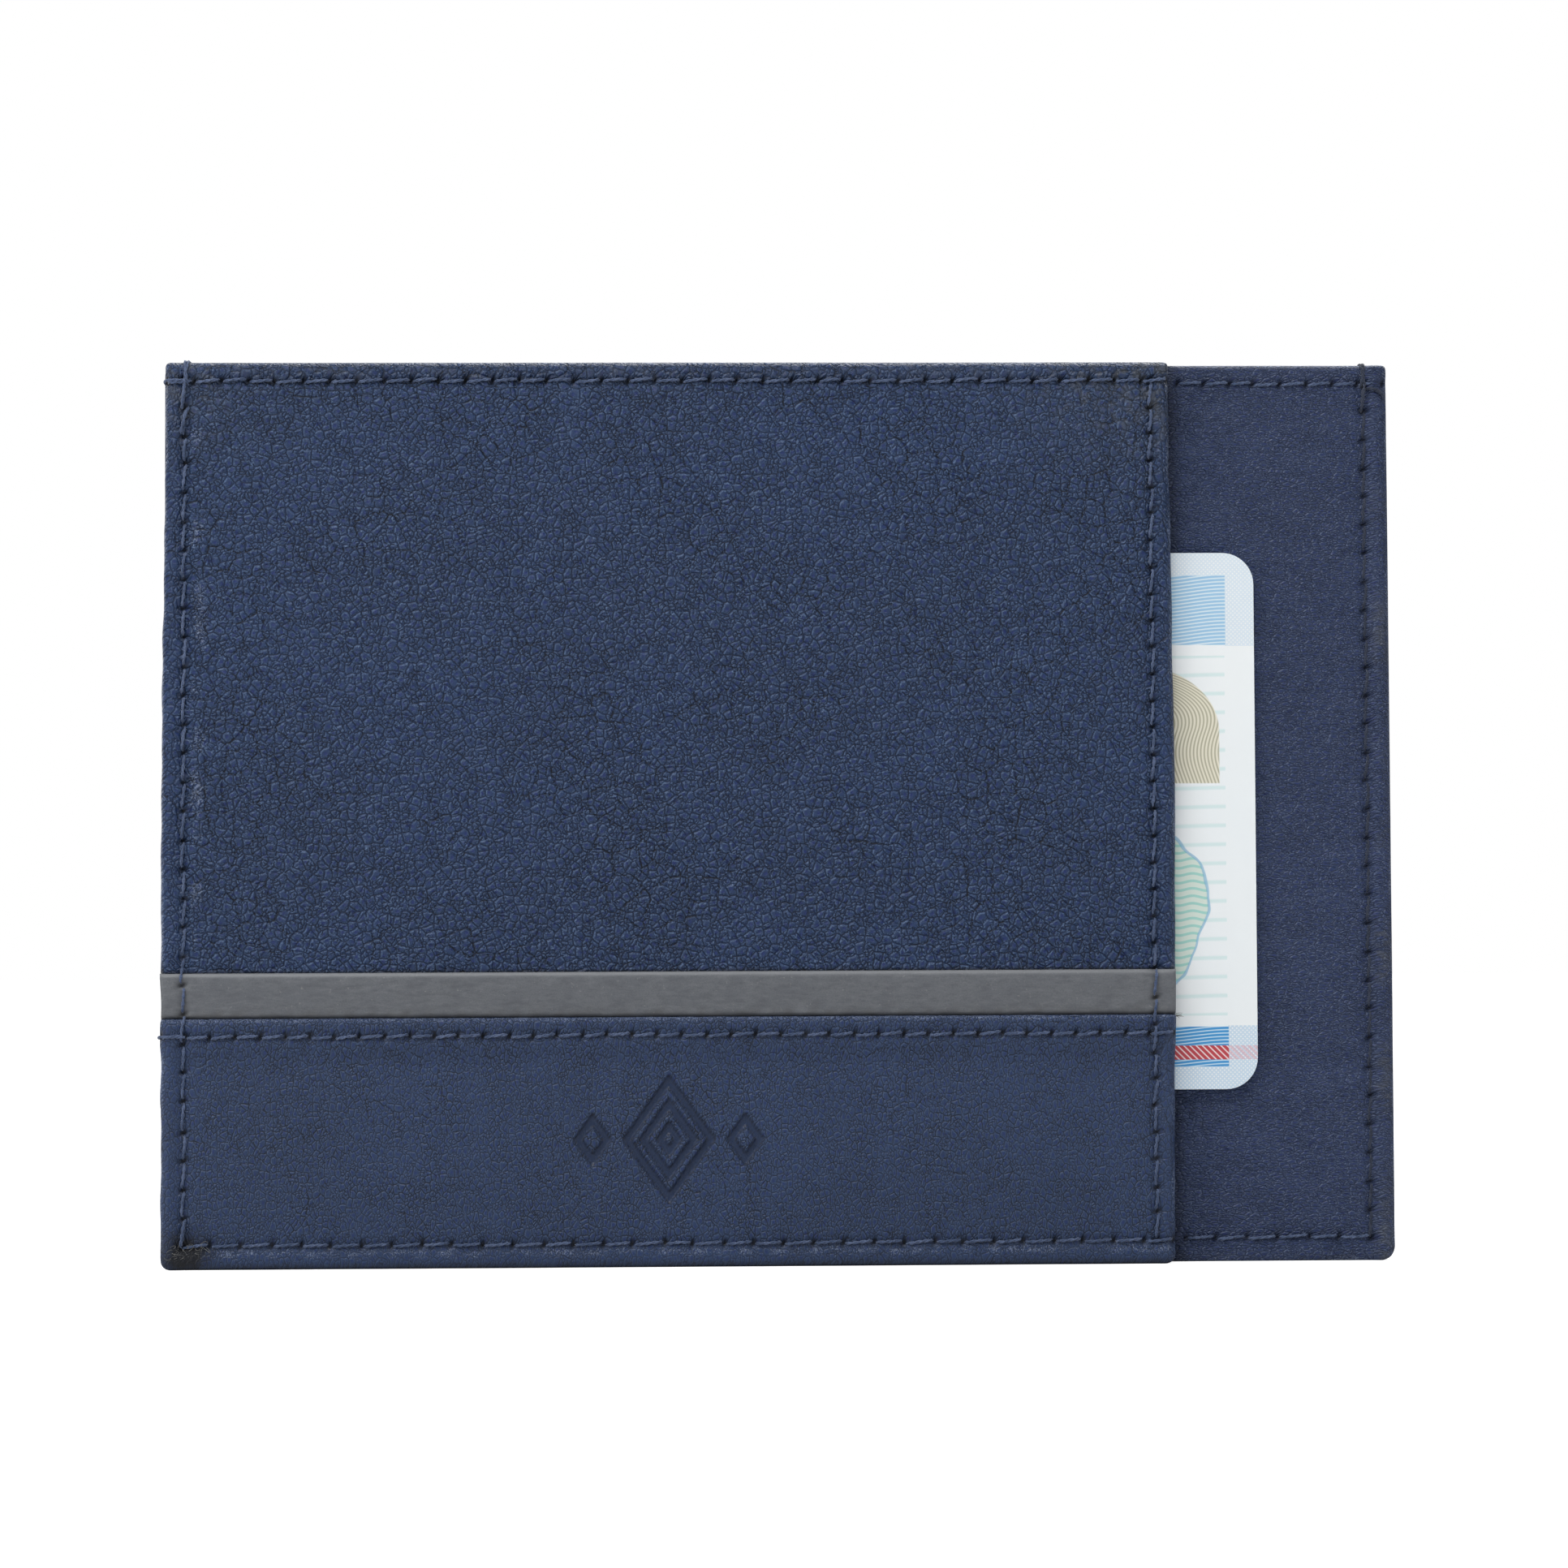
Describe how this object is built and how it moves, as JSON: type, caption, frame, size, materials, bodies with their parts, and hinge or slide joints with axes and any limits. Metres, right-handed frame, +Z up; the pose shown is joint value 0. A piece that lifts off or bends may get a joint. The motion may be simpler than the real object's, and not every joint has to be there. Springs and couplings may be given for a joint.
{
  "type": "card holder",
  "caption": "Flat stitched leather card holder with a side-opening front pocket holding a sample card, and stepped card slots on the back.",
  "frame": {"origin": "middle of the bottom edge: half the width, half the thickness, lowest point", "axes": "+X along the width towards the mouth of the front pocket, +Y from the front towards the back slots, +Z up"},
  "size_m": [0.1234, 0.0118, 0.0905],
  "materials": {
    "navy_pebbled_leather": "pebbled, semi-matt",
    "navy_fine_leather": "fine grain, semi-matt",
    "grey_coated_leather": "smooth coated, satin",
    "stiffener_board": "uncoated board",
    "navy_lining_cloth": "fine twill",
    "navy_thread": "twisted polyester, slight sheen",
    "card_plastic": "printed, laminated"
  },
  "bodies": {
    "holder": {"front_upper_panel": "navy_pebbled_leather", "front_accent_stripe": "grey_coated_leather", "front_lower_band": "navy_fine_leather", "front_stiffener": "stiffener_board", "front_pocket_lining": "navy_lining_cloth", "rear_inner_panel": "navy_fine_leather", "rear_stiffener": "stiffener_board", "back_top_strip": "navy_fine_leather", "back_base_lining": "navy_lining_cloth", "slot_1_strip": "navy_fine_leather", "slot_1_tail": "navy_lining_cloth", "slot_2_strip": "navy_fine_leather", "slot_2_tail": "navy_lining_cloth", "slot_3_strip": "navy_fine_leather", "slot_3_tail": "navy_lining_cloth", "slot_4_panel": "navy_pebbled_leather", "top_seam_thread": "navy_thread", "bottom_seam_thread": "navy_thread", "left_seam_thread": "navy_thread", "right_seam_thread": "navy_thread", "mouth_seam_thread": "navy_thread", "band_seam_thread": "navy_thread", "slot_1_mouth_thread": "navy_thread", "slot_2_mouth_thread": "navy_thread", "slot_3_mouth_thread": "navy_thread", "slot_4_mouth_thread": "navy_thread", "slot_1_floor_thread": "navy_thread", "slot_2_floor_thread": "navy_thread", "slot_3_floor_thread": "navy_thread"},
    "card": {"sample_card": "card_plastic"}
  },
  "joints": [
    {"name": "card_slide", "type": "slide", "parent": "holder", "child": "card", "axis": [1, 0, 0], "range_m": [-0.0185, 0.105]}
  ]
}
